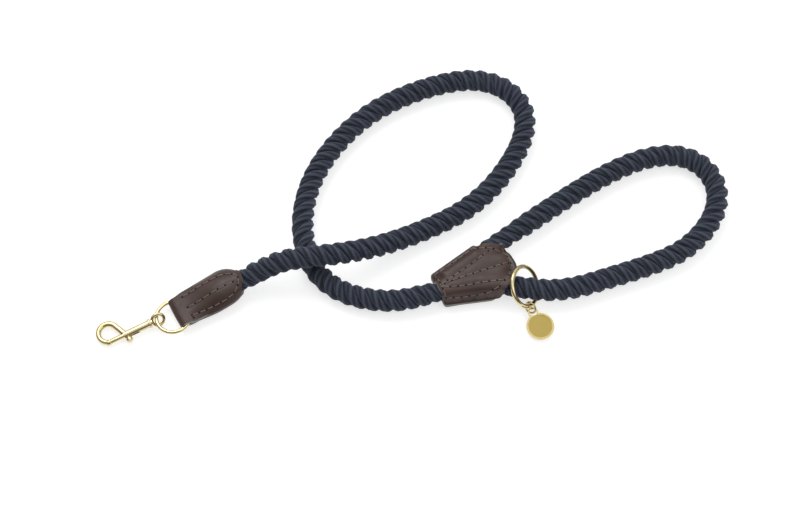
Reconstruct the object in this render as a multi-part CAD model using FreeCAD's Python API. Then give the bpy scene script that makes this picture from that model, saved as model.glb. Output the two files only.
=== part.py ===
"""Rope hand lead: laid rope, two stitched leather pieces, a swivel bolt snap and a charm ring.

Millimetres, +Z up. The lead lies on a flat surface at Z = 0. The origin is on that surface,
under the middle of the leather and metal pieces. +X runs from the snap to the hand loop.
"""
import FreeCAD, Part
import math
import os
from FreeCAD import Placement, Rotation, Vector

# ---------------------------------------------------------------- driving dimensions
ROPE_D = 16.0              # three-strand laid rope
ROPE_GAP = 0.15            # leather stands this far off the rope
LEATHER = 2.4              # thickness of every leather layer
STITCH = 0.9               # thread diameter
STITCH_LONG = 4.3          # length of one stitch on the surface
STITCH_PITCH = 5.6         # from one stitch to the next

TAB_FRONT = (-105.0, -15.2)    # middle of the tab's fold
TAB_ANGLE = 28.5               # direction of the tab, from the fold to the rope
TAB_LONG = 53.0
TAB_HALF = (9.3, 12.2, 13.6)   # half widths: at the fold, behind the ring, at the round end
TAB_WAIST = (4.0, 8.0)         # the tab widens between these distances from the fold
TAB_END = (12.0, 0.62)         # depth of the round end, and its flat share of the half width
TAB_ROUNDS = (1.5, 1.5, 3.0, 7.0, 6.0)   # corner radii, from the fold to the round end
TAB_ROW_INSET = 3.5            # stitch rows lie this far inside the tab's outline
TAB_GAP_TOP = 20.5             # underside of the top layer over the rope
TAB_ROPE_START = 26.0          # the rope ends this far behind the fold

RING_Z = 4.6               # height of the snap ring's middle
SNAP_RING = (11.6, 1.4)    # snap ring: middle radius, wire radius
SNAP_RING_TURN = 12.0      # direction from the swivel eye to the middle of the snap ring
RING_GAP = 0.35            # leather stands this far off the ring's wire

SNAP_PIVOT = (-118.0, -18.7)   # where the eye hangs on the snap ring
SNAP_YAW = 206.2               # direction of the snap, from the eye to the hook
SNAP_PITCH = 3.6               # the hook end lies lower than the eye
EYE = (4.3, 1.15)              # swivel eye: middle radius, wire radius
EYE_OFFSET = -1.1              # middle of the eye, along the snap from its pivot
EYE_ROLL = 50.0                # the eye stands at this angle to the hook
EYE_FLANGE = (2.3, 3.1, 4.15)  # flange between eye and collar: radius, start, end
STEM_R = 1.3
STEM_GAP = 0.06
BARREL_R = 2.7
BARREL = (4.3, 25.0)       # ends of the barrel, along the snap from its pivot
COLLAR = (3.4, 2.0)        # collar at the swivel end: radius, length
BORE_R = 1.8
REAR_WALL = 2.5            # metal between the collar face and the bore
BOLT_R = 1.75
BOLT = (18.2, 35.15)       # ends of the sliding bolt when the hook is shut
BOLT_TRAVEL = 7.5
STUD_AT = 22.5             # thumb stud, along the snap
STUD_PIN_R = 1.05
STUD_KNOB = (2.4, 3.3, 6.0)    # knob radius, start and end, out from the snap's axis
HOOK_MIDDLE = (34.2, -6.8)     # middle of the hook's bow, along and across the snap
HOOK_R = 6.9                   # to the middle of the hook's wire
HOOK_WIRE = (2.3, 1.8)         # wire radius at the barrel and at the nose
HOOK_ROOT = (24.0, -0.9)       # where the bow leaves the barrel
HOOK_END = 70.0                # angle at which the bow reaches the nose
NOSE = (2.0, 35.4, 36.8)       # nose radius, start and end along the snap
SPRING = (1.3, 0.22, 5)        # coil radius, wire radius, turns

HANDLE_RING = (14.1, 1.6)      # ring on the hand loop: middle radius, wire radius
HANDLE_RING_AT = (141.0, 3.9)
HANDLE_RING_LEAN = 49.0        # the ring's slope, leaning back on the leather joint
HANDLE_RING_AZ = -13.4         # direction in which it slopes down
LINK = (4.0, 0.75)             # small link: middle radius, wire radius
LINK_AT = 50.0                 # place of the link round the ring, from its lowest point
LINK_AXIS = (0.47, -0.80, -0.46)   # from the ring's wire to the tag's hole
TAG_R = 9.8
TAG_THICK = 1.2
TAG_RIM = (1.3, 0.4)           # raised rim: width, height
TAG_HOLE_R = 2.6
TAG_LUG_R = 3.7
TAG_REACH = 11.3               # from the hole to the middle of the disc
TAG_AXIS = (0.42, -0.90, -0.06)    # from the hole to the middle of the disc

# Leather joint: two plates of the same outline, narrow where the lead comes in.
JOINT_ANCHORS = ((74.6, 14.8), (84.6, -8.8), (124.5, -3.2), (134.2, 8.5),
                 (135.3, 22), (124.5, 38.2), (108.5, 38))
JOINT_ROUNDS = (2.5, 2.5, 8, 7, 12, 9, 12)     # corner radii, one per anchor
JOINT_ROW_INSET = 1.2
JOINT_FANS = (((91, 13), (113, 30)), ((90, 9), (126, 17)), ((92, 4), (122, 6)))   # stitch rows
JOINT_TOP = 21.6
JOINT_STEPS = ((LEATHER * 2, 2.2), (15.0, 3.0), (JOINT_TOP, 7.0))  # height, inset

# Route of the rope, from inside the tab to its tail inside the joint.
ROUTE = [
    (-82, -3, 10.6), (-63, 7, 11.2), (-45, 15, 16.5), (-27, 19, 25.5), (7, 23, 25.5),
    (31, 32, 17), (53, 41.5, 10), (77, 53, 8), (99, 65, 8), (119, 83, 8),
    (135, 106, 8), (145, 129, 8), (145, 150, 8), (132.5, 167, 8), (111, 175, 8),
    (86, 172, 8), (56, 161, 8), (29, 145, 8), (6, 121, 8), (-10, 94, 8),
    (-17, 67, 8), (-16.5, 42, 8), (-8.5, 19, 8), (7, 3.5, 8), (29, -4.5, 8),
    (53, -6, 9.2), (78, 0.5, 10.8), (106, 3, 11), (136, 3.5, 12), (156, 0.5, 12),
    (177, 4, 9.2), (201, 12.5, 8), (227, 21, 8), (253, 32, 8), (270.5, 48, 8),
    (281, 66, 8), (283, 85.5, 8), (274, 102.5, 8), (256.5, 111.5, 8), (231.5, 109, 8),
    (202, 95, 8), (172, 75, 8.6), (146, 56, 10), (121, 38, 11), (99, 21.5, 11),
]

UP = Vector(0, 0, 1)


# ---------------------------------------------------------------- helpers
def export(shape, node):
    shape.exportStep(f"parts/{node}.step")
    box = shape.BoundBox
    print(f"{node:26s} solids {len(shape.Solids):3d} volume {shape.Volume:9.1f} "
          f"x {box.XMin:7.1f} {box.XMax:7.1f} y {box.YMin:7.1f} {box.YMax:7.1f} "
          f"z {box.ZMin:6.2f} {box.ZMax:6.2f}")


def polar(radius, degrees):
    turn = math.radians(degrees)
    return radius * math.cos(turn), radius * math.sin(turn)


def cylinder(radius, start, end):
    axis = end.sub(start)
    return Part.makeCylinder(radius, axis.Length, start, axis)


def torus(middle, normal, ring):
    return Part.makeTorus(ring[0], ring[1], middle, normal)


def slab(wire, low, high):
    face = Part.Face(wire)
    face.translate(Vector(0, 0, low))
    return face.extrude(Vector(0, 0, high - low))


def rounded(path, radius):
    """Runs between the given points, joined by arcs of one radius or one radius each."""
    radii = [radius] * len(path) if isinstance(radius, (int, float)) else radius
    edges = []
    last = path[0]
    for before, corner, after, size in zip(path, path[1:], path[2:], radii[1:]):
        inward = before.sub(corner).normalize()
        onward = after.sub(corner).normalize()
        half = inward.getAngle(onward) / 2
        back = size / math.tan(half)
        start = corner + inward * back
        end = corner + onward * back
        middle_way = (inward + onward).normalize()
        middle = corner + middle_way * (size / math.sin(half) - size)
        if last.distanceToPoint(start) > 1e-6:
            edges.append(Part.LineSegment(last, start).toShape())
        edges.append(Part.Arc(start, middle, end).toShape())
        last = end
    if last.distanceToPoint(path[-1]) > 1e-6:
        edges.append(Part.LineSegment(last, path[-1]).toShape())
    return Part.Wire(edges)


def closed_outline(corners, radius):
    """Closed flat outline through straight sides with rounded corners."""
    points = [Vector(x, y, 0) for x, y in corners]
    start = (points[0] + points[-1]) * 0.5
    return rounded([start] + points + [start], radius)


def stitch_row(points, height):
    """Short thread bars lying on the leather along a row, at one height."""
    wire = Part.makePolygon([Vector(x, y, height + STITCH / 2) for x, y in points])
    count = int(wire.Length // STITCH_PITCH)
    places = wire.discretize(Number=2 * count + 1)
    bars = []
    for index in range(count):
        middle = places[2 * index + 1]
        way = (places[2 * index + 2] - places[2 * index]).normalize()
        half = way * (STITCH_LONG / 2)
        bars.append(cylinder(STITCH / 2, middle - half, middle + half))
    return bars


# ---------------------------------------------------------------- rope
def arc_radii(route):
    """Each arc takes 0.45 of the shorter run beside it."""
    radii = [0.0]
    for before, corner, after in zip(route, route[1:], route[2:]):
        one = corner.sub(before)
        two = after.sub(corner)
        turn = one.getAngle(two)
        radii.append(0.45 * min(one.Length, two.Length) / math.tan(turn / 2))
    return radii + [0.0]


def rope_path():
    route = [Vector(*point) for point in ROUTE]
    radii = arc_radii(route)
    print("rope arc radii", " ".join(f"{radius:.0f}" for radius in radii[1:-1]))
    return rounded(route, radii)


def tube(path, radius):
    start = path.Edges[0]
    heading = start.tangentAt(start.FirstParameter)
    ring = Part.Wire(Part.Circle(start.valueAt(start.FirstParameter), heading, radius).toShape())
    return path.makePipeShell([ring], True, False)


def rope(path):
    solid = tube(path, ROPE_D / 2)
    section = math.pi * (ROPE_D / 2) ** 2
    print(f"rope length {path.Length:.1f}, volume over section x length "
          f"{solid.Volume / (section * path.Length):.4f}")
    return solid


def whipping(edge, at_end):
    """Turns of twine bound round a cut end of the rope, made as one flat band."""
    parameter = edge.LastParameter if at_end else edge.FirstParameter
    heading = edge.tangentAt(parameter) * (1 if at_end else -1)
    face = edge.valueAt(parameter)
    return Part.makeCylinder(ROPE_D / 2 - 1.0, 3.0, face, heading)


# ---------------------------------------------------------------- leather tab
def tab_place():
    return Placement(Vector(TAB_FRONT[0], TAB_FRONT[1], 0), Rotation(UP, TAB_ANGLE))


def tab_profile(inset):
    """Side view of the folded strap, drawn in X (along) and Z; inset moves it inwards."""
    fold_r = RING_Z - inset
    roof = TAB_GAP_TOP + LEATHER - inset
    low = RING_Z + fold_r
    far = TAB_LONG + 20
    rise = 10.0 + inset
    crest = TAB_ROPE_START - 5.0
    front = Vector(inset, 0, RING_Z)
    base = Vector(RING_Z, 0, RING_Z - fold_r)
    top = Vector(RING_Z, 0, low)
    outline = [
        Part.LineSegment(Vector(far, 0, base.z), base).toShape(),
        Part.Arc(base, front, top).toShape(),
        Part.LineSegment(top, Vector(rise, 0, low)).toShape(),
        Part.LineSegment(Vector(rise, 0, low), Vector(crest, 0, roof)).toShape(),
        Part.LineSegment(Vector(crest, 0, roof), Vector(far, 0, roof)).toShape(),
        Part.LineSegment(Vector(far, 0, roof), Vector(far, 0, base.z)).toShape(),
    ]
    face = Part.Face(Part.Wire(outline))
    face.translate(Vector(0, -30, 0))
    return face.extrude(Vector(0, 60, 0))


def tab_outline(inset=0.0):
    """Plan of the tab: narrow at the fold, with a round end over the rope."""
    fold, waist, end = (half - inset for half in TAB_HALF)
    reach = TAB_LONG - inset
    depth, flat = TAB_END
    one_side = [(inset, fold), (TAB_WAIST[0], fold), (TAB_WAIST[1], waist), (reach - depth, end),
                (reach, end * flat)]
    other_side = [(x, -y) for x, y in one_side]
    rounds = [*TAB_ROUNDS, *reversed(TAB_ROUNDS)]
    return closed_outline(other_side + one_side[::-1], [0, *rounds, 0])


def tab_leather(rope_room):
    strap = tab_profile(0.0).cut(tab_profile(LEATHER))
    solid = strap.common(slab(tab_outline(), -1, 30))
    solid.Placement = tab_place()
    return solid.cut([snap_ring(RING_GAP), rope_room])


def tab_filler():
    """Leather packing between the ring and the rope's end, inside the folded strap."""
    room = tab_profile(LEATHER + 0.1).common(slab(tab_outline(2.0), -1, 30))
    reach = SNAP_RING[0] + SNAP_RING[1] + 0.5 - 2.0
    block = Part.makeBox(TAB_ROPE_START - 4.0 - reach, 60, 40, Vector(reach, -30, -5))
    solid = room.common(block)
    solid.Placement = tab_place()
    return solid


def tab_rows():
    """Stitch rows on the tab's top layer: two outer rows and one down the middle."""
    roof = TAB_GAP_TOP + LEATHER
    start = TAB_ROPE_START + 1.0
    end = TAB_LONG - TAB_ROW_INSET
    side = TAB_HALF[2] - TAB_ROW_INSET
    corner = side * 0.5
    outer = [(start, -side), (end - 8, -side), (end, -corner), (end, corner),
             (end - 8, side), (start, side)]
    middle = [(start, 0), (end - 4.0, 0)]
    rows = {}
    for node, points in (("tab_edge_stitching", outer), ("tab_centre_stitching", middle)):
        group = Part.makeCompound(stitch_row(points, roof))
        group.Placement = tab_place()
        rows[node] = group
    return rows


# ---------------------------------------------------------------- leather joint
def joint_outline(inset=0.0):
    wire = closed_outline(JOINT_ANCHORS, [0, *JOINT_ROUNDS, 0])
    return wire.makeOffset2D(-inset) if inset else wire


def joint_leather_bottom():
    return slab(joint_outline(), 0, LEATHER)


def joint_leather_top(rope_room):
    rim = slab(joint_outline(), LEATHER, 2 * LEATHER)
    steps = []
    for height, inset in JOINT_STEPS:
        wire = joint_outline(inset)
        wire.translate(Vector(0, 0, height))
        steps.append(wire)
    dome = Part.makeLoft(steps, True, True)
    return rim.fuse(dome).cut(rope_room).removeSplitter()


def joint_stitching(path):
    edge = joint_outline(JOINT_ROW_INSET)
    edge_points = [(point.x, point.y) for point in edge.discretize(Number=61)]
    bars = stitch_row(edge_points, 2 * LEATHER)
    clear = ROPE_D / 2 + STITCH
    bars = [bar for bar in bars if bar.distToShape(path)[0] > clear]
    rows = []
    for row in JOINT_FANS:
        rows += stitch_row(row, JOINT_TOP)
    return Part.makeCompound(bars), Part.makeCompound(rows)


# ---------------------------------------------------------------- swivel bolt snap
def snap_place():
    turn = Rotation(UP, SNAP_YAW).multiply(Rotation(Vector(0, 1, 0), SNAP_PITCH))
    return Placement(Vector(SNAP_PIVOT[0], SNAP_PIVOT[1], RING_Z), turn)


def placed(solid):
    solid.Placement = snap_place().multiply(solid.Placement)
    return solid


def snap_ring(gap=0.0):
    across, up = polar(SNAP_RING[0], SNAP_RING_TURN)
    middle = Vector(SNAP_PIVOT[0] + across, SNAP_PIVOT[1] + up, RING_Z)
    return torus(middle, UP, (SNAP_RING[0], SNAP_RING[1] + gap))


def swivel_eye():
    """Round eye with a stem; the stem's end is spread inside the barrel so that it turns."""
    normal = Rotation(Vector(1, 0, 0), 90 - EYE_ROLL).multVec(Vector(0, 1, 0))
    eye = torus(Vector(EYE_OFFSET, 0, 0), normal, EYE)
    chamber = BARREL[0] + REAR_WALL
    stem = cylinder(STEM_R, Vector(EYE_OFFSET + EYE[0], 0, 0), Vector(chamber + 1.4, 0, 0))
    head = cylinder(BORE_R - STEM_GAP, Vector(chamber + 0.2, 0, 0), Vector(chamber + 1.4, 0, 0))
    radius, near, far = EYE_FLANGE
    flange = cylinder(radius, Vector(near, 0, 0), Vector(far, 0, 0))
    return placed(eye.fuse([stem, head, flange]).removeSplitter())


def hook_bow():
    """Tapered wire: a straight rise from the barrel, then round to the nose."""
    middle = Vector(HOOK_MIDDLE[0], HOOK_MIDDLE[1], 0)
    root = Vector(HOOK_ROOT[0], HOOK_ROOT[1], 0)
    outward = root.sub(middle)
    lead = math.degrees(math.atan2(outward.y, outward.x))
    lead += math.degrees(math.acos(HOOK_R / outward.Length))
    touch = middle + Vector(*polar(HOOK_R, lead), 0)
    sweep = HOOK_END + 360 - lead
    half = middle + Vector(*polar(HOOK_R, lead + sweep / 2), 0)
    end = middle + Vector(*polar(HOOK_R, HOOK_END), 0)
    path = Part.Wire([Part.LineSegment(root, touch).toShape(), Part.Arc(touch, half, end).toShape()])
    heading = touch.sub(root)
    arrival = Vector(*polar(1.0, HOOK_END + 90), 0)
    wide = Part.Wire(Part.Circle(root, heading, HOOK_WIRE[0]).toShape())
    slim = Part.Wire(Part.Circle(end, arrival, HOOK_WIRE[1]).toShape())
    return path.makePipeShell([wide, slim], True, False), end


def snap_body():
    start, end = BARREL
    barrel = cylinder(BARREL_R, Vector(start, 0, 0), Vector(end, 0, 0))
    collar = cylinder(COLLAR[0], Vector(start, 0, 0), Vector(start + COLLAR[1], 0, 0))
    collar = collar.makeFillet(0.5, collar.Edges[:1] + collar.Edges[2:])
    bow, bow_end = hook_bow()
    nose = cylinder(NOSE[0], Vector(NOSE[1], 0, 0), Vector(NOSE[2], 0, 0))
    cap = Part.makeSphere(NOSE[0], Vector(NOSE[2], 0, 0))
    knuckle = Part.makeSphere(HOOK_WIRE[1], bow_end)
    heel = Part.makeSphere(HOOK_WIRE[0], Vector(HOOK_ROOT[0], HOOK_ROOT[1], 0))
    solid = barrel.fuse([collar, bow, nose, cap, knuckle, heel])
    bore = cylinder(BORE_R, Vector(start + REAR_WALL, 0, 0), Vector(NOSE[1] - 0.01, 0, 0))
    stem_hole = cylinder(STEM_R + STEM_GAP, Vector(start - 1, 0, 0), Vector(start + REAR_WALL + 1, 0, 0))
    slot_half = STUD_PIN_R + 0.1
    slot = Part.makeBox(BOLT_TRAVEL, 6, 2 * slot_half, Vector(STUD_AT - BOLT_TRAVEL, 0, -slot_half))
    for place in (STUD_AT - BOLT_TRAVEL, STUD_AT):
        slot = slot.fuse(cylinder(slot_half, Vector(place, 0, 0), Vector(place, 6, 0)))
    return placed(solid.cut([bore, stem_hole, slot]).removeSplitter())


def snap_bolt():
    rod = cylinder(BOLT_R, Vector(BOLT[0], 0, 0), Vector(BOLT[1], 0, 0))
    ends = [edge for edge in rod.Edges if edge.Closed]
    rod = rod.makeChamfer(0.3, ends)
    hole = cylinder(STUD_PIN_R, Vector(STUD_AT, 0, 0), Vector(STUD_AT, 4, 0))
    return placed(rod.cut(hole))


def thumb_stud():
    radius, start, end = STUD_KNOB
    pin = cylinder(STUD_PIN_R, Vector(STUD_AT, 0, 0), Vector(STUD_AT, start, 0))
    knob = cylinder(radius, Vector(STUD_AT, start, 0), Vector(STUD_AT, end, 0))
    rims = [edge for edge in knob.Edges if edge.Closed]
    knob = knob.makeFillet(0.7, rims)
    return placed(pin.fuse(knob).removeSplitter())


def bolt_spring():
    """Compression spring in the barrel, from the swivel's head to the back of the bolt."""
    coil, wire, turns = SPRING
    start = BARREL[0] + REAR_WALL + 1.4 + wire + 0.1
    length = BOLT[0] - wire - 0.1 - start
    helix = Part.makeHelix(length / turns, length, coil)
    section = Part.Wire(Part.Circle(Vector(coil, 0, 0), Vector(0, 1, 0), wire).toShape())
    solid = Part.Wire(helix).makePipeShell([section], True, True)
    solid.Placement = Placement(Vector(start, 0, 0), Rotation(Vector(0, 1, 0), 90))
    return placed(solid)


# ---------------------------------------------------------------- ring, link and tag on the hand loop
def ring_frame():
    """Middle of the leaning ring, with its level, downhill and normal directions."""
    radius, wire = HANDLE_RING
    lean = math.radians(HANDLE_RING_LEAN)
    ahead = Vector(*polar(1.0, HANDLE_RING_AZ), 0)
    level = UP.cross(ahead)
    down = ahead * math.cos(lean) - UP * math.sin(lean)
    normal = ahead * math.sin(lean) + UP * math.cos(lean)
    middle = Vector(*HANDLE_RING_AT, wire + radius * math.sin(lean))
    return middle, level, down, normal


def handle_ring():
    middle, _, _, normal = ring_frame()
    return torus(middle, normal, HANDLE_RING)


def link_frame():
    """Point on the ring's wire, link middle, link normal and middle of the tag's hole."""
    middle, level, down, _ = ring_frame()
    along, aside = polar(HANDLE_RING[0], LINK_AT)
    grip = middle + down * along - level * aside
    tangent = (down * -aside - level * along).normalize()
    out = Vector(*LINK_AXIS).normalize()
    normal = (tangent - out * tangent.dot(out)).normalize()
    hub = grip + out * (LINK[0] - LINK[1] - HANDLE_RING[1] - 0.2)
    return grip, hub, normal, hub + out * LINK[0]


def tag_link():
    _, hub, normal, _ = link_frame()
    return torus(hub, normal, LINK)


def tag():
    """Plain round tag with a raised rim and a lug with a hole."""
    along = Vector(*TAG_AXIS).normalize()
    across = UP.cross(along).normalize()
    face = along.cross(across)
    turn = Rotation(along, across, face, "XYZ")
    half = TAG_THICK / 2
    disc = Part.makeCylinder(TAG_R, TAG_THICK, Vector(TAG_REACH, 0, -half))
    lug = Part.makeCylinder(TAG_LUG_R, TAG_THICK, Vector(0, 0, -half))
    neck = Part.makeBox(5, 4.4, TAG_THICK, Vector(0, -2.2, -half))
    rim = Part.makeCylinder(TAG_R, TAG_THICK / 2 + TAG_RIM[1], Vector(TAG_REACH, 0, 0))
    well = Part.makeCylinder(TAG_R - TAG_RIM[0], TAG_THICK, Vector(TAG_REACH, 0, half))
    hole = Part.makeCylinder(TAG_HOLE_R, 10, Vector(0, 0, -5))
    solid = disc.fuse([lug, neck, rim]).cut([well, hole]).removeSplitter()
    solid.Placement = Placement(link_frame()[3], turn)
    return solid


# ---------------------------------------------------------------- whole lead
def build():
    os.makedirs("parts", exist_ok=True)
    path = rope_path()
    rope_room = tube(path, ROPE_D / 2 + ROPE_GAP)
    edge_bars, fan_bars = joint_stitching(path)
    nodes = {
        "rope": rope(path),
        "tab_leather": tab_leather(rope_room),
        "tab_filler": tab_filler(),
        **tab_rows(),
        "tab_whipping": whipping(path.Edges[0], at_end=False),
        "joint_leather_bottom": joint_leather_bottom(),
        "joint_leather_top": joint_leather_top(rope_room),
        "joint_edge_stitching": edge_bars,
        "joint_fan_stitching": fan_bars,
        "snap_ring": snap_ring(),
        "swivel_eye": swivel_eye(),
        "snap_body": snap_body(),
        "snap_bolt": snap_bolt(),
        "thumb_stud": thumb_stud(),
        "bolt_spring": bolt_spring(),
        "handle_ring": handle_ring(),
        "tag_link": tag_link(),
        "tag": tag(),
    }
    for node, shape in nodes.items():
        export(shape, node)


build()
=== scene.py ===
"""Looks of the rope hand lead: laid rope, stitched leather tab and joint, pale gold fittings.

The lead lies on Z = 0, with +X from the snap to the hand loop. The rope's route is in metres;
the leather pieces are drawn in millimetres and scaled once, where their meshes are made.
"""
import bpy
import math
import numpy as np
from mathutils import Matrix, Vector, geometry


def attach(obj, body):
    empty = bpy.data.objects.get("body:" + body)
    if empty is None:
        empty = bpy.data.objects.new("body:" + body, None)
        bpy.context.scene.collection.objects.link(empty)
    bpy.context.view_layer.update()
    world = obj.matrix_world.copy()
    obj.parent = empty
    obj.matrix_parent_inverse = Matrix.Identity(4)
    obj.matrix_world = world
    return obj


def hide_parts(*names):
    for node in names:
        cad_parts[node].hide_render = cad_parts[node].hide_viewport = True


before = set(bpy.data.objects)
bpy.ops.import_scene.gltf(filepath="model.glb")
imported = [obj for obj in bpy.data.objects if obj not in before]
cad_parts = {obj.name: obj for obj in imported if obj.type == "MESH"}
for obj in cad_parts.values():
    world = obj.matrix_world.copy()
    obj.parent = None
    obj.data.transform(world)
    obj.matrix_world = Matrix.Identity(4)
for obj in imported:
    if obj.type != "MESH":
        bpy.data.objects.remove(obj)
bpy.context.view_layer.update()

MM = 0.001

# ---------------------------------------------------------------- sizes
LAY = 0.0268               # one full turn of a strand
STRAND_OUT = 0.00452       # from the rope's axis to a strand's axis
STRAND_R = 0.0036
YARNS = 5                  # ridges round a strand
YARN_DEPTH = 0.13          # of the strand's radius
YARN_DRIFT = 0.55          # turn of the ridges for each turn of the lay
RING_STEP = 0.00122        # between the rings of vertices along a strand
RING_SIDES = 30
PRESS = (0.70, 0.92)       # height and width of the rope where leather presses it
PRESS_FADE = 0.012         # the rope swells back over this length outside the leather
TAIL_THINNED = 0.016       # the tail is thinned over this length before it is sewn in
WHIPPING_TURNS = 6
WHIPPING_PITCH = 0.0006
WHIPPING_OUT = 0.0068      # from the rope's axis to the twine
TWINE_R = 0.0004
FLOOR_HALF = 4
FLOOR_Z = -0.0012          # a little below the lead, so that the two never share a surface

# From here to the route, all sizes are in millimetres.
LEATHER = 2.2
RUBBED = 0.45              # rounding of the cut edges
SNUG = 0.2                 # between the rope and the leather over it
THREAD_R = 0.36
PITCH = 5.6                # from one awl hole to the next
HOLE_R = 0.90
GROOVE_HALF = 1.7          # half width of the groove that a row of stitches draws in
OUTLINE_STEP = 0.9         # between the points of a cut piece's outline
PROBE = 0.4                # distance aside at which a surface's slope is read

TAB_FRONT = (-105.7, -14.65)   # middle of the fold
TAB_ANGLE = 28.5           # direction of the tab, from the fold to the round end
TAB_LONG = 53.5
TAB_ROUND = 15.5           # length of the round end
TAB_LEAN = 0.7             # the round end lies this far to one side of the fold
LEANING = (18, 46)         # distances from the fold between which the tab leans over
TAB_COVER = 1.6            # the upper layer is this much wider on one side, beside the ring
COVERING = (8, 24)         # that extra width runs out between these distances
FOLD_R = 4.6               # outer radius of the fold, and its height
TAB_SEAM = 9.2             # height of the upper layer's edge at the fold
TAB_CREST = (9.25, 7.6)    # height of its middle at the fold, and the rise over the rope
CLOSING = (7, 14)          # the two edges draw together between these distances
TAB_CLOSED = (1.0, 3.9)    # fall of the upper edge and rise of the lower edge there
RISING = (26, 48)          # both edges rise together between these distances
TAB_RISE = 2.3
PACKING = (11.8, 21.5)     # start and end of the packing, from the fold
TAB_ROWS = (
    [(10.5, 7.6), (22.0, 7.5), (36.0, 6.6), (43.0, 5.4), (48.8, 2.4), (50.8, -1.2), (49.2, -5.2),
     (43.5, -8.9), (36.0, -9.9), (22.0, -9.2), (10.5, -7.9)],
    [(10.5, -1.4), (46.0, -3.0)],
    [(10.5, -7.9), (10.5, -10.2)],
)

JOINT_CORNERS = ((74.2, 14.9), (84.6, -8.4), (125.6, -2.6), (132.4, 7.5),
                 (137.3, 21.5), (130.2, 34.0), (112.0, 35.6), (105.4, 38.9))
JOINT_ROUNDS = (2.5, 2.5, 8, 9, 13, 8, 10, 2.5)
JOINT_TUCK = {2: (123.0, -1.2), 3: (129.5, 8.0)}   # the lower sheet stops short under the rope here
JOINT_EDGE = 6.8           # height of the upper sheet's edge
JOINT_DOME = (10.6, 10.8)  # the upper sheet swells over this distance inwards, by this height
JOINT_LIFT = (2.6, 7)      # height of the lower sheet's edge, and where it is back on the table
# Points near both ends of the through run of rope in the joint, and near the start of the tail's run.
JOINT_RUNS = ((66, -3), (148, 2.5), (158, 65))
JOINT_FANS = (
    [(82.0, 3.6), (93.0, 11.4), (103.0, 18.8), (115.5, 29.6)],
    [(84.5, 4.2), (97.0, 9.0), (113.5, 15.0), (129.5, 20.6)],
    [(82.6, 1.2), (95.0, 1.8), (111.0, 4.6), (126.6, 6.6)],
)
JOINT_ROW = [(83.0, 0.0), (78.2, 12.6), (87.2, 19.4), (96.6, 26.4), (103.6, 31.8), (111.0, 32.2),
             (118.0, 31.6), (124.6, 29.6), (129.4, 25.8), (131.8, 19.8), (129.0, 9.2), (123.2, 1.6),
             (116.0, -1.4), (103.6, -2.9), (85.6, -5.4), (83.0, 0.0)]
FLANGE = 0.9               # width of the flat margin where the two sheets meet
CELL = 1.15                # size of the joint's mesh
CELL_GAP = 1.7             # the mesh inside the sheet keeps this far off its outline

TAG_MIDDLE = (151.5, -22.4, 2.3)
TAG_FACE_R = 8.5           # radius of the sunk face inside its rim
PLATED = ("snap_ring", "swivel_eye", "snap_body", "snap_bolt", "thumb_stud", "handle_ring", "tag_link")

# The part's own route in metres, a little lower and to one side where leather presses the rope flat.
ROUTE = (
    (-0.082, -0.003, 0.0084), (-0.063, 0.007, 0.0096), (-0.045, 0.015, 0.0160), (-0.027, 0.019, 0.0255),
    (0.007, 0.0225, 0.0255), (0.031, 0.0310, 0.0170), (0.053, 0.0415, 0.0100), (0.077, 0.053, 0.0080),
    (0.099, 0.065, 0.0080), (0.119, 0.083, 0.0080), (0.135, 0.106, 0.0080), (0.145, 0.129, 0.0080),
    (0.145, 0.150, 0.0080), (0.1325, 0.167, 0.0080), (0.111, 0.175, 0.0080), (0.086, 0.172, 0.0080),
    (0.056, 0.161, 0.0080), (0.029, 0.145, 0.0080), (0.006, 0.121, 0.0080), (-0.010, 0.094, 0.0080),
    (-0.017, 0.067, 0.0080), (-0.0165, 0.042, 0.0080), (-0.0085, 0.019, 0.0080), (0.007, 0.0035, 0.0080),
    (0.029, -0.0045, 0.0080), (0.053, -0.006, 0.0086), (0.078, 0.0010, 0.0092), (0.106, 0.0068, 0.0096),
    (0.136, 0.0042, 0.0114), (0.156, 0.0005, 0.0120), (0.177, 0.004, 0.0092), (0.201, 0.0125, 0.0080),
    (0.227, 0.021, 0.0080), (0.253, 0.032, 0.0080), (0.2705, 0.048, 0.0080), (0.281, 0.066, 0.0080),
    (0.283, 0.0855, 0.0080), (0.274, 0.1025, 0.0080), (0.2565, 0.1115, 0.0080), (0.2315, 0.109, 0.0080),
    (0.202, 0.095, 0.0080), (0.172, 0.075, 0.0084), (0.146, 0.056, 0.0092), (0.121, 0.038, 0.0098),
    (0.103, 0.0240, 0.0093),
)
# Stretches of the rope inside leather: a point near each end of each stretch.
PRESSED = (((-0.082, -0.003), (-0.059, 0.009)), ((0.080, 0.001), (0.128, 0.0035)),
           ((0.133, 0.047), (0.103, 0.0240)))


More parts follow.
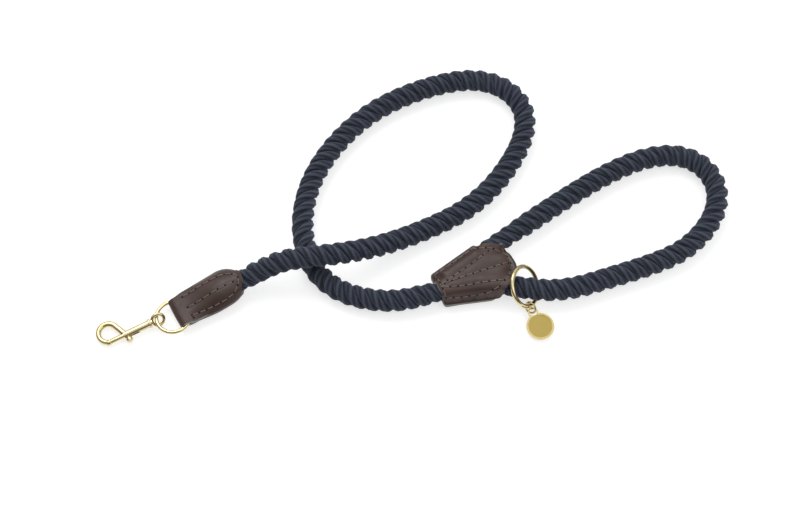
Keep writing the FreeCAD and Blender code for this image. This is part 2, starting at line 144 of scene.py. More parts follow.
# ---------------------------------------------------------------- node materials
class Nodes:
    """A short way to write a material's node tree."""

    def __init__(self, name):
        self.material = bpy.data.materials.new(name)
        self.material.use_nodes = True
        self.tree = self.material.node_tree
        self.shader = self.tree.nodes["Principled BSDF"]

    def add(self, kind, **values):
        node = self.tree.nodes.new(kind)
        for key, value in values.items():
            if key in node.inputs:
                node.inputs[key].default_value = value
            else:
                setattr(node, key, value)
        return node

    def join(self, out, into):
        self.tree.links.new(out, into)

    def noise(self, coordinates, scale, detail=4.0, stretch=(1, 1, 1)):
        mapping = self.add("ShaderNodeMapping")
        mapping.inputs["Scale"].default_value = stretch
        self.join(coordinates, mapping.inputs["Vector"])
        noise = self.add("ShaderNodeTexNoise", Scale=scale, Detail=detail)
        self.join(mapping.outputs["Vector"], noise.inputs["Vector"])
        return noise.outputs["Fac"]

    def ramp(self, value, stops):
        node = self.add("ShaderNodeValToRGB")
        ramp = node.color_ramp
        for element, (place, colour) in zip(ramp.elements, (stops[0], stops[-1])):
            element.position = place
            element.color = (*colour, 1)
        for place, colour in stops[1:-1]:
            ramp.elements.new(place).color = (*colour, 1)
        self.join(value, node.inputs["Fac"])
        return node.outputs["Color"]

    def math(self, operation, one, two):
        node = self.add("ShaderNodeMath", operation=operation)
        for socket, value in zip(node.inputs, (one, two)):
            if isinstance(value, (int, float)):
                socket.default_value = value
            else:
                self.join(value, socket)
        return node.outputs[0]

    def bump(self, height, strength, distance, under=None):
        node = self.add("ShaderNodeBump", Strength=strength, Distance=distance)
        self.join(height, node.inputs["Height"])
        if under is not None:
            self.join(under, node.inputs["Normal"])
        return node.outputs["Normal"]

    def surface(self, **values):
        for name, value in values.items():
            socket = self.shader.inputs[name.replace("_", " ")]
            if isinstance(value, (int, float, tuple)):
                socket.default_value = value
            else:
                self.join(value, socket)


def rope_material():
    """Navy cotton yarn with painted shade: lighter on the ridges and darker in the grooves, with fine
    twisted fibres.
    """
    n = Nodes("navy_laid_rope")
    place = n.add("ShaderNodeTexCoord")
    # painted shade: this value is high on the strands' outward ridges and low in the grooves, where shade
    # falls
    painted_ridge_shade = n.add("ShaderNodeAttribute", attribute_name="painted_ridge_shade").outputs["Fac"]
    fibres = n.noise(place.outputs["UV"], 5.0, 5.0, (26, 3.2, 1))
    patches = n.noise(place.outputs["Object"], 55.0, 3.0)
    shade = n.math("ADD", n.math("MULTIPLY", painted_ridge_shade, 0.52), n.math("MULTIPLY", fibres, 0.42))
    shade = n.math("ADD", shade, n.math("MULTIPLY", patches, 0.16))
    # the ramp runs from painted shadow in the grooves to painted highlight on the ridges
    colour = n.ramp(shade, ((0.24, (0.0057, 0.0068, 0.0110)), (0.50, (0.0162, 0.0203, 0.0335)),
                            (0.72, (0.0390, 0.0465, 0.0690)), (1.0, (0.104, 0.118, 0.148))))
    twist = n.add("ShaderNodeTexWave", Scale=9.0, Distortion=2.5, Detail=2.0)
    turned = n.add("ShaderNodeMapping")
    turned.inputs["Rotation"].default_value = (0, 0, 0.35)
    n.join(place.outputs["UV"], turned.inputs["Vector"])
    n.join(turned.outputs["Vector"], twist.inputs["Vector"])
    normal = n.bump(fibres, 0.75, 0.00035)
    normal = n.bump(twist.outputs["Fac"], 0.35, 0.0002, normal)
    n.surface(Base_Color=colour, Roughness=0.82, Normal=normal, Sheen_Weight=0.22,
              Sheen_Roughness=0.45, Sheen_Tint=(0.55, 0.62, 0.85, 1), Specular_IOR_Level=0.3)
    return n.material


def leather_material(name, dark, light, roughness, grain):
    """Smooth bridle leather: mottled dye, fine pores and a satin finish."""
    n = Nodes(name)
    place = n.add("ShaderNodeTexCoord").outputs["Object"]
    mottle = n.noise(place, 90.0, 6.0)
    tint = n.noise(place, 24.0, 2.0)
    shade = n.math("ADD", n.math("MULTIPLY", mottle, 0.6), n.math("MULTIPLY", tint, 0.4))
    colour = n.ramp(shade, ((0.32, dark), (0.68, light)))
    pores = n.add("ShaderNodeTexVoronoi", Scale=1300.0)
    n.join(place, pores.inputs["Vector"])
    wrinkle = n.noise(place, 420.0, 5.0)
    normal = n.bump(pores.outputs["Distance"], grain, 0.00012)
    normal = n.bump(wrinkle, grain * 1.3, 0.0002, normal)
    gloss = n.ramp(n.noise(place, 160.0, 3.0),
                   ((0.3, (roughness - 0.07,) * 3), (0.7, (roughness + 0.08,) * 3)))
    n.surface(Base_Color=colour, Roughness=gloss, Normal=normal, Specular_IOR_Level=0.45)
    return n.material


def thread_material():
    """Waxed thread, light brown with a fine ply."""
    n = Nodes("waxed_thread")
    place = n.add("ShaderNodeTexCoord").outputs["Object"]
    tint = n.noise(place, 300.0, 3.0)
    colour = n.ramp(tint, ((0.3, (0.110, 0.082, 0.068)), (0.7, (0.235, 0.180, 0.150))))
    ply = n.add("ShaderNodeTexWave", Scale=900.0, Distortion=1.0)
    n.join(place, ply.inputs["Vector"])
    n.surface(Base_Color=colour, Roughness=0.6, Normal=n.bump(ply.outputs["Fac"], 0.5, 0.0001))
    return n.material


def hole_shade_material():
    """Near-black painted shade for the inside of an awl hole."""
    n = Nodes("painted_awl_hole_shade")
    place = n.add("ShaderNodeTexCoord").outputs["Object"]
    colour = n.ramp(n.noise(place, 900.0, 2.0),
                    ((0.3, (0.0015, 0.0012, 0.0012)), (0.7, (0.006, 0.0045, 0.004))))
    n.surface(Base_Color=colour, Roughness=0.95)
    return n.material


def metal_material(name, deep, pale, roughness):
    """Polished plating with faint handling marks, and painted reflection: clouds of a darker tone in its
    colour stand in for dark surroundings reflected.
    """
    n = Nodes(name)
    place = n.add("ShaderNodeTexCoord").outputs["Object"]
    # painted reflection: deep is a darker tone laid in clouds over the plating's pale colour
    painted_reflection_cloud = n.noise(place, 70.0, 3.0)
    colour = n.ramp(painted_reflection_cloud, ((0.3, deep), (0.7, pale)))
    marks = n.noise(place, 700.0, 2.0, (1, 1, 4))
    gloss = n.ramp(n.noise(place, 240.0, 4.0),
                   ((0.35, (roughness,) * 3), (0.75, (roughness + 0.09,) * 3)))
    n.surface(Base_Color=colour, Metallic=1.0, Roughness=gloss, Normal=n.bump(marks, 0.03, 0.00004))
    return n.material


# ---------------------------------------------------------------- mesh helpers
def piece(name, points, faces, material, body, scale=1.0):
    """One smooth mesh object that rides a body and has a material slot's name."""
    mesh = bpy.data.meshes.new(name)
    mesh.from_pydata((np.asarray(points, float) * scale).tolist(), [], [list(face) for face in faces])
    mesh.update()
    mesh.polygons.foreach_set("use_smooth", [True] * len(mesh.polygons))
    obj = bpy.data.objects.new(name, mesh)
    bpy.context.scene.collection.objects.link(obj)
    mesh.materials.append(material)
    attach(obj, body)
    return obj


def unit(vectors):
    """The same directions with a length of one."""
    return vectors / np.linalg.norm(vectors, axis=-1, keepdims=True)


def grid_faces(rows, columns, closed, start=0):
    """Quads between rows of points; closed joins each row's last column to its first."""
    faces = []
    for row in range(rows - 1):
        for column in range(columns if closed else columns - 1):
            beside = (column + 1) % columns
            here, above = start + row * columns, start + (row + 1) * columns
            faces.append((here + column, here + beside, above + beside, above + column))
    return faces


def tube_faces(rows, columns, start=0):
    """Quads round a tube of point rings, and a face over each end."""
    last = start + (rows - 1) * columns
    return [*grid_faces(rows, columns, True, start), tuple(range(start + columns - 1, start - 1, -1)),
            tuple(range(last, last + columns))]


def rings(one, two, angle):
    """Unit circles in the plane of two directions, one circle at each point of a line."""
    return one[:, None, :] * np.cos(angle)[None, :, None] + two[:, None, :] * np.sin(angle)[None, :, None]


def reach_along(points):
    """Distance of each point from the first, along the line."""
    return np.concatenate([[0], np.cumsum(np.linalg.norm(np.diff(points, axis=0), axis=1))])


def sampled(marks, reach, values):
    """The columns of values, read at marks along the line."""
    return np.stack([np.interp(marks, reach, column) for column in values.T], -1)


def step(value, low, high):
    """Smooth rise from 0 at low to 1 at high."""
    t = np.clip((np.asarray(value, float) - low) / (high - low), 0, 1)
    return t * t * (3 - 2 * t)


def soft_max(one, two, width):
    """The larger of two heights, with the valley between them rounded."""
    return np.logaddexp(np.asarray(one) / width, np.asarray(two) / width) * width


def distance_to(places, line):
    """Distance of each flat place to a run of points, and the place along it, from 0 to 1."""
    places = np.asarray(places, float)
    line = np.asarray(line, float)
    best = np.full(len(places), 1e9)
    along = np.zeros(len(places))
    reach = reach_along(line)
    lengths = np.linalg.norm(np.diff(line, axis=0), axis=1)
    for start, end, length, before in zip(line, line[1:], lengths, reach):
        way = end - start
        t = np.clip(((places - start) @ way) / (length * length), 0, 1)
        far = np.linalg.norm(places - (start + t[:, None] * way), axis=1)
        closer = far < best
        best[closer] = far[closer]
        along[closer] = (before + t * length)[closer] / reach[-1]
    return best, along


def groove(places, row, depth):
    """How far a row of stitches draws the leather down at flat places."""
    return depth * np.exp(-(distance_to(places, row)[0] / GROOVE_HALF) ** 2)


# ---------------------------------------------------------------- rope
def route_points():
    """The smooth line that the route's points control."""
    curve = bpy.data.curves.new("rope_line", "CURVE")
    curve.dimensions = "3D"
    curve.resolution_u = 24
    spline = curve.splines.new("NURBS")
    spline.points.add(len(ROUTE) - 1)
    for point, place in zip(spline.points, ROUTE):
        point.co = (*place, 1)
    spline.order_u = 3
    spline.use_endpoint_u = True
    line = bpy.data.objects.new("rope_line", curve)
    bpy.context.scene.collection.objects.link(line)
    mesh = bpy.data.meshes.new_from_object(line)
    points = np.array([vertex.co for vertex in mesh.vertices])
    bpy.data.objects.remove(line)
    return points


def evenly(points, gap):
    """The same line with points an even distance apart, and each one's distance along it."""
    reach = reach_along(points)
    marks = np.linspace(0, reach[-1], int(reach[-1] / gap) + 1)
    return sampled(marks, reach, points), marks


def carried_frames(line):
    """Side and up at each point, square to the line and carried along without twist."""
    ahead = unit(np.gradient(line, axis=0))
    side = [unit(np.cross((0, 0, 1), ahead[0]))]
    for heading in ahead[1:]:
        last = side[-1]
        side.append(unit(last - heading * (last @ heading)))
    side = np.array(side)
    return side, np.cross(ahead, side)


def nearest(line, place):
    """Index of the line's point nearest to a place in plan."""
    return np.linalg.norm(line[:, :2] - np.array(place), axis=1).argmin()


def pressed_share(line, marks):
    """How far the rope is pressed flat at each point, from 0 to 1."""
    share = np.zeros(len(line))
    for ends in PRESSED:
        low, high = sorted(marks[nearest(line, end)] for end in ends)
        rise = step(marks, low - PRESS_FADE, low)
        share = np.maximum(share, rise * (1 - step(marks, high, high + PRESS_FADE)))
    return share


def rope_strands(line, marks):
    """Three strands laid round the line, each with yarn ridges along it."""
    side, up = carried_frames(line)
    share = pressed_share(line, marks)
    ends = np.minimum(step(marks, -0.002, 0.003), 1 - step(marks, marks[-1] - 0.003, marks[-1] + 0.002))
    thinned = 1 - 0.45 * step(marks, marks[-1] - TAIL_THINNED, marks[-1])
    u = np.linspace(-1, 1, RING_SIDES, endpoint=False)
    theta = math.pi * u - 0.45 * np.sin(math.pi * u)
    points, faces, ridges, uvs = [], [], [], []
    for strand in range(3):
        turn = 2 * math.pi * (marks / LAY + strand / 3)
        outward = side * np.cos(turn)[:, None] + up * np.sin(turn)[:, None]
        centre = line + outward * STRAND_OUT
        ahead = unit(np.gradient(centre, axis=0))
        outward = unit(outward - ahead * np.sum(outward * ahead, axis=1)[:, None])
        beside = np.cross(ahead, outward)
        drift = turn * YARN_DRIFT
        wave = np.abs(np.cos((theta[None, :] - drift[:, None]) * YARNS / 2))
        lift = 1 - YARN_DEPTH * (1 - wave ** 0.8)
        radius = STRAND_R * lift * ends[:, None]
        ring = (centre[:, None, :] + outward[:, None, :] * (radius * np.cos(theta))[..., None]
                + beside[:, None, :] * (radius * np.sin(theta))[..., None])
        offset = (ring - line[:, None, :]) * thinned[:, None, None]
        offset[..., 2] *= (1 + (PRESS[0] - 1) * share)[:, None]
        offset[..., :2] *= (1 + (PRESS[1] - 1) * share)[:, None, None]
        faces.extend(tube_faces(len(line), RING_SIDES, len(points)))
        points.extend((line[:, None, :] + offset).reshape(-1, 3))
        # painted shade: the side of each strand facing out of the rope gets a lighter value than its side
        # in the grooves
        outer = 0.5 + 0.5 * np.cos(theta)
        ridges.extend((wave * (0.35 + 0.65 * outer[None, :])).ravel())
        uvs.append((theta * STRAND_R * 100, marks * 100))
    rope = piece("rope_strands", points, faces, rope_material(), "root")
    attribute = rope.data.attributes.new("painted_ridge_shade", "FLOAT", "POINT")
    attribute.data.foreach_set("value", np.array(ridges, np.float32))
    lay_out_uv(rope.data, uvs, len(line))
    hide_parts("rope")
    return rope


def lay_out_uv(mesh, strands, rows):
    """U runs round a strand and V along it, both in centimetres."""
    layer = mesh.uv_layers.new(name="strand")
    index = np.zeros(len(mesh.loops), np.int64)
    mesh.loops.foreach_get("vertex_index", index)
    per_strand = rows * RING_SIDES
    strand = index // per_strand
    row = (index % per_strand) // RING_SIDES
    column = index % RING_SIDES
    u = np.array([s[0] for s in strands])[strand, column]
    v = np.array([s[1] for s in strands])[strand, row]
    layer.data.foreach_set("uv", np.stack([u, v], 1).ravel().astype(np.float32))


# ---------------------------------------------------------------- thread and awl holes
def stitches(name, rows, surface, materials, node, proud=0.62):
    """Thread between awl holes along each row, with a painted shade cap over each hole. surface gives
    places and outward directions; proud is how far the thread's middle stands out, as a share of its
    radius."""
    sides, beads = 7, 9
    t = np.linspace(-1, 1, beads)
    girth = np.sqrt(np.clip(1 - np.abs(t) ** 5, 0, 1)) * 0.92 + 0.08
    lift = THREAD_R * (proud - 1.15 * np.abs(t) ** 3)
    angle = np.linspace(0, 2 * math.pi, sides, endpoint=False)
    points, faces, holes = [], [], []
    for row in rows:
        row = np.array(row, float)
        reach = reach_along(row)
        count = max(2, round(reach[-1] / PITCH))
        pitch = reach[-1] / count
        holes.extend(sampled(np.arange(count + 1) * pitch, reach, row))
        for index in range(count):
            marks = (index + 0.5) * pitch + t * (pitch / 2 - 0.25)
            place, out = surface(sampled(marks, reach, row))
            way = unit(np.gradient(place, axis=0))
            beside = unit(np.cross(out, way))
            place = place + out * lift[:, None]
            around = rings(beside, out, angle)
            faces.extend(tube_faces(beads, sides, len(points)))
            points.extend((place[:, None, :] + around * (girth * THREAD_R)[:, None, None]).reshape(-1, 3))
    thread = piece(name, points, faces, materials[0], "root", MM)
    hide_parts(node)
    # a near-black cap over each hole paints the shade inside it
    painted_hole_shades(name + "_painted_hole_shades", np.unique(np.round(holes, 3), axis=0), surface, materials[1])


def painted_hole_shades(name, places, surface, material):
    """Painted shade for the dark mouth of each hole: a shallow near-black cap on the leather."""
    sides = 10
    centre, out = surface(places)
    aside = unit(np.cross(out, (0.3, 0.2, 1.0)))
    beside = np.cross(out, aside)
    angle = np.linspace(0, 2 * math.pi, sides, endpoint=False)
    points, faces = [], []
    for middle, normal, one, two in zip(centre, out, aside, beside):
        base = len(points)
        for radius, height in ((HOLE_R, -0.12), (HOLE_R * 0.75, 0.20)):
            points.extend(middle + normal * height + (one * math.cos(a) + two * math.sin(a)) * radius
                          for a in angle)
        points.append(middle + normal * 0.25)
        faces.extend(grid_faces(2, sides, True, base))
        top = base + sides
        faces.extend((top + k, top + (k + 1) % sides, base + 2 * sides) for k in range(sides))
        faces.append(tuple(range(base + sides - 1, base - 1, -1)))
    piece(name, points, faces, material, "root", MM)


# ---------------------------------------------------------------- leather tab
def tab_to_world(along, across, height):
    """Places in the frame, from distances along and across the tab."""
    turn = math.radians(TAB_ANGLE)
    across = across + TAB_LEAN * step(along, *LEANING)
    x = TAB_FRONT[0] + along * math.cos(turn) - across * math.sin(turn)
    y = TAB_FRONT[1] + along * math.sin(turn) + across * math.cos(turn)
    return np.stack(np.broadcast_arrays(x, y, height), -1)


def tab_half(along):
    """Half width of the strap: narrow at the fold, round at the end over the rope."""
    body = 10.2 + 1.2 * step(along, 4.0, 12.0) + 1.3 * step(along, 8.0, 32.0)
    tip = np.clip((np.asarray(along, float) - (TAB_LONG - TAB_ROUND)) / TAB_ROUND, 0, 1)
    return body * np.sqrt(np.clip(1 - tip ** 2.15, 0, 1))


def tab_edgeward(along, across):
    """How near each place is to the strap's edge: 0 on the middle line, 1 at the edge."""
    return np.clip(np.abs(across) / np.maximum(tab_half(along), 0.5), 0, 1)


def rope_dome(high, x):
    """Half height of the rope at x, where 1 is its edge; it falls away steeply beyond that."""
    return high * np.sqrt(np.clip(1 - x * x, 0, 1)) - 30 * np.clip(x - 1, 0, 9)


def tab_rope(along, across):
    """Top and underside of the rope inside the tab."""
    centre = 8.5 + 0.7 * step(along, 22, 44) + 1.6 * step(along, 46, 62)
    share = 1 - step(along, 50, 62)
    high = 8.0 * (1 + (PRESS[0] - 1) * share)
    wide = 8.2 * (1 + (PRESS[1] - 1) * share)
    start = step(along, 12, 34)
    x = np.abs(across + 1.3 + 0.015 * (along - 28) + TAB_LEAN * step(along, *LEANING)) / wide
    dome = rope_dome(high, x)
    return centre + dome - 9 * (1 - start), centre - dome


def tab_top(along, across):
    """Outer height of the strap's upper layer."""
    along = np.asarray(along, float)
    seam = TAB_SEAM - TAB_CLOSED[0] * step(along, *CLOSING) + TAB_RISE * step(along, *RISING)
    crest = TAB_CREST[0] + TAB_CREST[1] * step(along, 6, 40)
    dome = (1 - tab_edgeward(along, across) ** 2.8) ** 0.9
    height = seam + (crest - seam) * dome
    height = soft_max(height, tab_rope(along, across)[0] + LEATHER + SNUG, 1.0)
    flat = np.stack(np.broadcast_arrays(along, across), -1).reshape(-1, 2)
    for row in TAB_ROWS[:2]:
        height = height - groove(flat, row, 0.35).reshape(height.shape)
    return height


def tab_low(along, across):
    """Outer height of the strap's lower layer."""
    seam = TAB_CLOSED[1] * step(along, *CLOSING) + TAB_RISE * step(along, *RISING)
    room = np.maximum(tab_rope(along, across)[1] - LEATHER - SNUG, 0.0)
    room = np.where(np.asarray(along) > RISING[0], room, 99.0)
    return np.minimum(seam * tab_edgeward(along, across) ** 2.5, room) + 0.02


def tab_surface(places):
    """Point and outward direction on the upper layer, half its thickness out from its middle."""
    def at(along, across):
        return tab_to_world(along, across, tab_top(along, across) - LEATHER / 2)
    along, across = places[:, 0], places[:, 1]
    one = at(along + PROBE, across) - at(along - PROBE, across)
    two = at(along, across + PROBE) - at(along, across - PROBE)
    out = unit(np.cross(one, two))
    return at(along, across) + out * LEATHER / 2, out


def tab_strap(leather, edge):
    """One strap folded round the snap ring, as a grid over its middle surface: rows from the lower
    layer's round end, round the fold, to the upper layer's."""
    tip = TAB_LONG * (1 - 0.5 * (1 - np.cos(np.linspace(0, math.pi / 2, 26))) ** 1.6)
    tip = np.unique(np.clip(tip, 32, TAB_LONG - 0.05))
    run = np.concatenate([np.arange(FOLD_R + 0.8, 31.5, 0.8), tip])
    bend = np.linspace(90, 270, 15)
    across = np.sin(np.linspace(-1.35, 1.35, 39)) / math.sin(1.35)
    near = np.clip(-across, 0, 1) ** 1.5
    middle = FOLD_R - LEATHER / 2
    sheets = []
    for along in run[::-1]:
        v = across * tab_half(along)
        sheets.append(tab_to_world(along, v, tab_low(along, v) + LEATHER / 2))
    for degrees in bend[::-1]:
        along = FOLD_R + middle * math.cos(math.radians(degrees))
        height = FOLD_R + middle * math.sin(math.radians(degrees)) * np.ones_like(across)
        bulge = 0.25 * (1 - across ** 2) * max(0.0, -math.cos(math.radians(degrees)))
        cover = TAB_COVER * near * max(0.0, math.sin(math.radians(degrees)))
        sheets.append(tab_to_world(along - bulge, across * tab_half(along) - cover, height))
    for along in run:
        v = across * tab_half(along) - TAB_COVER * near * (1 - step(along, *COVERING))
        sheets.append(tab_to_world(along, v, tab_top(along, v) - LEATHER / 2))
    points = np.concatenate(sheets)
    strap = piece("leather_tab", points, grid_faces(len(sheets), len(across), False), leather, "root",
                  MM)
    strap.data.materials.append(edge)
    thicken(strap, 0)
    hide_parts("tab_leather")


def thicken(obj, offset):
    """Gives a leather sheet its thickness and a cut edge with rubbed corners. The offset is 0 for a
    mesh in the middle of the leather and -1 for one on its outer face."""
    solid = obj.modifiers.new("thickness", "SOLIDIFY")
    solid.thickness = LEATHER * MM
    solid.offset = offset
    solid.material_offset_rim = 1
    bevel = obj.modifiers.new("rubbed_edge", "BEVEL")
    bevel.width = RUBBED * MM
    bevel.segments = 3
    bevel.limit_method = "ANGLE"
    bevel.angle_limit = math.radians(50)


def tab_packing(leather):
    """The leather packing between the ring and the rope's end."""
    across = np.linspace(1, -1, 17)
    rows = []
    for place in np.linspace(*PACKING, 12):
        v = across * (tab_half(place) - 2.6)
        top = tab_top(place, v) - LEATHER - 0.25
        low = tab_low(place, v) + LEATHER + 0.25
        rows.append(np.concatenate([tab_to_world(place, v, top), tab_to_world(place, v[::-1], low)]))
    faces = tube_faces(len(rows), 2 * len(across))
    block = piece("tab_packing_block", np.concatenate(rows), faces, leather, "root", MM)
    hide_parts("tab_filler")


def rope_whipping(line, marks, thread):
    """Turns of twine round the rope's cut end, inside the tab."""
    side, up = carried_frames(line)
    sides = 8
    angle = np.linspace(0, 2 * math.pi * WHIPPING_TURNS, 40 * WHIPPING_TURNS)
    reach = 0.0008 + WHIPPING_PITCH * angle / (2 * math.pi)
    centre, side, up = (sampled(reach, marks, group) for group in (line, side, up))
    offset = (side * np.cos(angle)[:, None] + up * np.sin(angle)[:, None]) * WHIPPING_OUT
    offset[:, 2] *= PRESS[0]
    path = centre + offset
    ahead = unit(np.gradient(path, axis=0))
    out = unit(offset - ahead * np.sum(offset * ahead, axis=1)[:, None])
    beside = np.cross(ahead, out)
    around = rings(out, beside, np.linspace(0, 2 * math.pi, sides, endpoint=False))
    points = (path[:, None, :] + around * TWINE_R).reshape(-1, 3)
    twine = piece("whipping_twine", points, tube_faces(len(path), sides), thread, "root")
    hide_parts("tab_whipping")


# ---------------------------------------------------------------- leather joint
def leather_outline(corners, radii):
    """Closed outline of a cut leather piece: straight sides with rounded corners, as even points."""
    corners = [np.array(corner, float) for corner in corners]
    outline = []
    for index, (corner, radius) in enumerate(zip(corners, radii)):
        back = unit(corners[index - 1] - corner)
        on = unit(corners[(index + 1) % len(corners)] - corner)
        half = math.acos(np.clip(back @ on, -1, 1)) / 2
        start = corner + back * radius / math.tan(half)
        hub = corner + unit(back + on) * radius / math.sin(half)
        sweep = math.pi - 2 * half
        spin = math.copysign(1, back[1] * on[0] - back[0] * on[1])
        first = math.atan2(*(start - hub)[::-1])
        count = max(3, int(radius * sweep / OUTLINE_STEP))
        for part in range(count + 1):
            turn = first + spin * sweep * part / count
            outline.append(hub + radius * np.array((math.cos(turn), math.sin(turn))))
    loop = np.array(outline + outline[:1])
    reach = reach_along(loop)
    marks = np.linspace(0, reach[-1], int(reach[-1] / OUTLINE_STEP), endpoint=False)
    return sampled(marks, reach, loop)


def inside(places, loop):
    """Which flat places lie inside a closed loop."""
    crossed = np.zeros(len(places), bool)
    for (x1, y1), (x2, y2) in zip(loop, np.roll(loop, -1, axis=0)):
        if y1 == y2:
            continue
        spans = (places[:, 1] < y1) != (places[:, 1] < y2)
        crossed ^= spans & (places[:, 0] < x1 + (places[:, 1] - y1) * (x2 - x1) / (y2 - y1))
    return crossed


UPPER_LOOP = leather_outline(JOINT_CORNERS, JOINT_ROUNDS)
LOWER_LOOP = leather_outline([JOINT_TUCK.get(k, corner) for k, corner in enumerate(JOINT_CORNERS)],
                             JOINT_ROUNDS)


def joint_ropes(places, line):
    """Top and underside of the rope runs inside the joint, far below and above where there is none,
    and the distance to the nearer run's middle."""
    line = line * 1000
    start, end, tail = (nearest(line, place) for place in JOINT_RUNS)
    top = np.full(len(places), -20.0)
    low = np.full(len(places), 40.0)
    near_rope = np.full(len(places), 99.0)
    for stretch, fade in ((line[start:end], 0.0), (line[tail:], 1.0)):
        off, along = distance_to(places, stretch[::4, :2])
        centre = np.interp(along, np.linspace(0, 1, len(stretch)), stretch[:, 2])
        thin = fade * step(along, 0.72, 1.0)
        x = off / (8.2 - 3.6 * thin)
        near_rope = np.minimum(near_rope, off + 3.6 * thin)
        dome = rope_dome(8.1 * PRESS[0] + SNUG - 2.5 * thin, x)
        top = np.maximum(top, centre + dome)
        low = np.minimum(low, centre - dome)
    return top, low, near_rope


def rim_distance(places, loop):
    """Distance of flat places to a closed loop."""
    return distance_to(places, np.vstack([loop, loop[:1]]))[0]


def joint_heights(places, line):
    """Outer heights of the joint's upper and lower leather at flat places, in millimetres."""
    places = np.asarray(places, float)
    rim = rim_distance(places, UPPER_LOOP)
    climb = np.clip((rim - FLANGE) / JOINT_DOME[0], 0, 1)
    top = JOINT_EDGE + JOINT_DOME[1] * (1 - (1 - climb) ** 2.6) ** 0.95
    rope_top, rope_low, near_rope = joint_ropes(places, line)
    top = soft_max(top, rope_top + LEATHER, 0.9)
    fall = (1 - step(rim, FLANGE, FLANGE + 2.0)) * step(near_rope, 5.2, 8.6)
    top = top + (JOINT_EDGE - top) * fall
    for fan in JOINT_FANS:
        top = top - groove(places, fan, 0.45)
    top = top - groove(places, JOINT_ROW, 0.35)
    low = JOINT_LIFT[0] * (1 - step(rim_distance(places, LOWER_LOOP), 0, JOINT_LIFT[1]))
    low = np.minimum(low, np.maximum(rope_low - LEATHER, 0.0)) + 0.02
    return top, low


def joint_sheet(name, node, line, upper, leather, edge):
    """One of the joint's two leather sheets, as a fine mesh inside the outline."""
    loop = UPPER_LOOP if upper else LOWER_LOOP
    centre = loop.mean(axis=0)
    xs, ys = (np.arange(loop[:, axis].min(), loop[:, axis].max(), CELL) for axis in range(2))
    field = np.array([(x, y) for x in xs for y in ys])
    field = field[inside(field, loop)]
    field = field[rim_distance(field, loop) > CELL_GAP]
    way = unit(np.roll(loop, -1, axis=0) - np.roll(loop, 1, axis=0))
    inward = np.stack([-way[:, 1], way[:, 0]], 1)
    inward *= np.sign(np.sum(inward * (centre - loop), axis=1))[:, None]
    flat = np.vstack([loop, loop + inward * FLANGE, field])
    rim_edges = [(k, (k + 1) % len(loop)) for k in range(len(loop))]
    made = geometry.delaunay_2d_cdt([Vector(p) for p in flat], rim_edges, [], 1, 1e-5)
    places = np.array([tuple(v) for v in made[0]])
    height = joint_heights(places, line)[0 if upper else 1]
    sheet = piece(name, np.column_stack([places, height]), made[2], leather, "root", MM)
    sheet.data.materials.append(edge)
    up = sum(polygon.normal.z * polygon.area for polygon in sheet.data.polygons) > 0
    if up != upper:
        sheet.data.flip_normals()
    thicken(sheet, -1)
    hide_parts(node)


def joint_surface(line):
    """Gives the function that finds points and outward directions on the upper sheet."""
    def surface(places):
        def at(shift):
            spots = places + np.array(shift)
            return np.column_stack([spots, joint_heights(spots, line)[0]])
        one = at((PROBE, 0)) - at((-PROBE, 0))
        two = at((0, PROBE)) - at((0, -PROBE))
        return at((0, 0)), unit(np.cross(one, two))
    return surface


# ---------------------------------------------------------------- metal, floor, light, camera
def tag_material(tag_object):
    """Polished rim round a satin face, told apart by the distance from the middle of the disc; the rim's
    colour is also lighter than the face's, a painted highlight.
    """
    n = Nodes("satin_gold_with_painted_rim_highlight")
    place = n.add("ShaderNodeTexCoord").outputs["Object"]
    middle = tag_object.matrix_world.inverted() @ (Vector(TAG_MIDDLE) * MM)
    apart = n.add("ShaderNodeVectorMath", operation="DISTANCE")
    n.join(place, apart.inputs[0])
    apart.inputs[1].default_value = middle
    outward = n.math("MULTIPLY", apart.outputs["Value"], 1 / (TAG_FACE_R * 2 * MM))
    share = n.math("ADD", outward, n.math("MULTIPLY", n.noise(place, 120.0, 3.0), 0.02))
    # painted highlight: the rim's colour is lighter than the sunk face's
    colour = n.ramp(share, ((0.495, (0.405, 0.300, 0.090)), (0.525, (0.70, 0.58, 0.27))))
    gloss = n.ramp(share, ((0.495, (0.30,) * 3), (0.525, (0.16,) * 3)))
    n.surface(Base_Color=colour, Metallic=1.0, Roughness=gloss)
    return n.material


def dress(node, material):
    """Gives one of the part's own metal pieces its material."""
    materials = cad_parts[node].data.materials
    materials.clear()
    materials.append(material)


def finish_metal():
    """Pale gold on all fittings, with the tag's face satin, and plain steel on the spring."""
    # the first colour is the darker tone of painted reflection, the second the plating's pale gold
    gold = metal_material("pale_gold_with_painted_reflections", (0.59, 0.49, 0.235), (0.74, 0.64, 0.385), 0.15)
    steel = metal_material("spring_wire", (0.55, 0.55, 0.56), (0.70, 0.70, 0.70), 0.25)
    for node in PLATED:
        dress(node, gold)
    dress("tag", tag_material(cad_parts["tag"]))
    dress("bolt_spring", steel)


def floor():
    """Plain white ground under the lead."""
    n = Nodes("studio_floor")
    n.surface(Base_Color=(0.48, 0.48, 0.48, 1), Roughness=0.9, Emission_Color=(1, 1, 1, 1),
              Emission_Strength=0.66)
    mesh = bpy.data.meshes.new("studio_floor")
    corners = [(x * FLOOR_HALF, y * FLOOR_HALF, FLOOR_Z) for x, y in ((-1, -1), (1, -1), (1, 1), (-1, 1))]
    mesh.from_pydata(corners, [], [(0, 1, 2, 3)])
    mesh.materials.append(n.material)
    plane = bpy.data.objects.new("studio_floor", mesh)
    bpy.context.scene.collection.objects.link(plane)


def area_light(name, place, aim, size, watts):
    """A rectangular light that faces a point."""
    light = bpy.data.lights.new(name, "AREA")
    light.shape = "RECTANGLE"
    light.size, light.size_y = size
    light.energy = watts
    obj = bpy.data.objects.new(name, light)
    obj.location = place
    obj.rotation_euler = (Vector(aim) - Vector(place)).to_track_quat("-Z", "Y").to_euler()
    bpy.context.scene.collection.objects.link(obj)


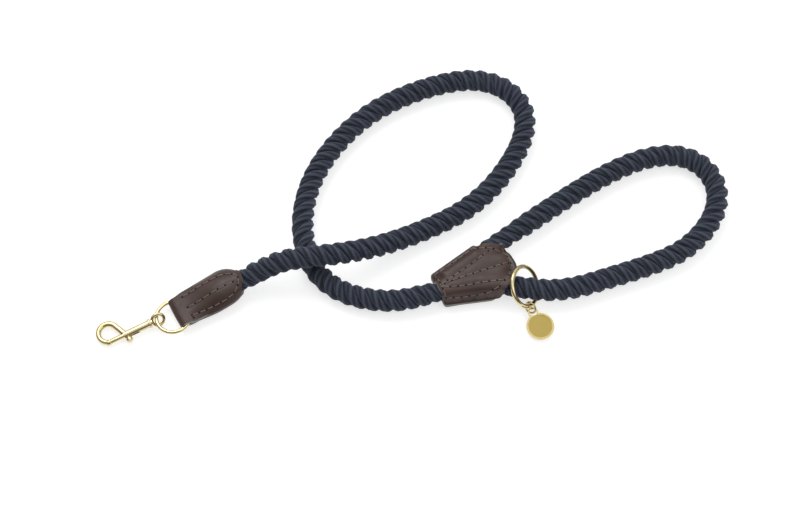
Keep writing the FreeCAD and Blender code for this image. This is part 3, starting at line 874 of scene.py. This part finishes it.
def light_tent(tree):
    """White overhead and behind, falling to grey low down and on the near side."""
    place = tree.nodes.new("ShaderNodeTexCoord")
    lean = tree.nodes.new("ShaderNodeVectorMath")
    lean.operation = "DOT_PRODUCT"
    lean.inputs[1].default_value = (0.05, 0.42, 0.90)
    ramp = tree.nodes.new("ShaderNodeValToRGB")
    stops = ramp.color_ramp.elements
    stops[0].position, stops[0].color = 0.05, (0.10, 0.10, 0.095, 1)
    stops[1].position, stops[1].color = 0.80, (0.98, 0.99, 1.0, 1)
    stops.new(0.38).color = (0.34, 0.34, 0.33, 1)
    tree.links.new(place.outputs["Generated"], lean.inputs[0])
    tree.links.new(lean.outputs["Value"], ramp.inputs["Fac"])
    tree.links.new(ramp.outputs["Color"], tree.nodes["Background"].inputs["Color"])
    tree.nodes["Background"].inputs["Strength"].default_value = 1.0


def studio():
    """Ground, surroundings, lights and a plain view transform."""
    floor()
    world = bpy.data.worlds.new("studio")
    world.use_nodes = True
    light_tent(world.node_tree)
    bpy.context.scene.world = world
    area_light("key", (-0.35, 0.75, 1.35), (0.05, 0.05, 0), (0.9, 0.9), 9.0)
    area_light("fill", (0.9, -0.5, 1.2), (0.05, 0.05, 0), (1.0, 1.0), 4.0)
    bpy.context.scene.view_settings.view_transform = "Standard"


def camera():
    """Looks down at the lead from the near side."""
    data = bpy.data.cameras.new("camera")
    data.lens = 85
    data.sensor_width = 36
    obj = bpy.data.objects.new("camera", data)
    obj.location = (0.053, -0.5435, 1.2235)
    obj.rotation_euler = (Vector((0.053, 0.027, 0)) - obj.location).to_track_quat("-Z", "Y").to_euler()
    bpy.context.scene.collection.objects.link(obj)
    bpy.context.scene.camera = obj


# ---------------------------------------------------------------- whole lead
def build():
    """All the pieces of the lead that the scene draws, and the looks of the part's own metal."""
    brown = leather_material("brown_bridle_leather", (0.033, 0.0162, 0.0125), (0.060, 0.0315, 0.0245),
                             0.47, 0.22)
    cut_edge = leather_material("burnished_leather_edge", (0.13, 0.119, 0.109), (0.26, 0.245, 0.23),
                                0.6, 0.35)
    threads = (thread_material(), hole_shade_material())
    points = route_points()
    line, marks = evenly(points, RING_STEP)
    rope = rope_strands(line, marks)
    rope_whipping(line, marks, threads[0])
    tab_strap(brown, cut_edge)
    tab_packing(brown)
    stitches("tab_edge_threads", [TAB_ROWS[0], TAB_ROWS[2]], tab_surface, threads, "tab_edge_stitching")
    stitches("tab_centre_threads", [TAB_ROWS[1]], tab_surface, threads, "tab_centre_stitching")
    joint_sheet("joint_leather_lower", "joint_leather_bottom", line, False, brown, cut_edge)
    joint_sheet("joint_leather_upper", "joint_leather_top", line, True, brown, cut_edge)
    surface = joint_surface(line)
    stitches("joint_edge_threads", [JOINT_ROW], surface, threads, "joint_edge_stitching", 0.15)
    stitches("joint_fan_threads", JOINT_FANS, surface, threads, "joint_fan_stitching")
    finish_metal()


camera()
build()
studio()
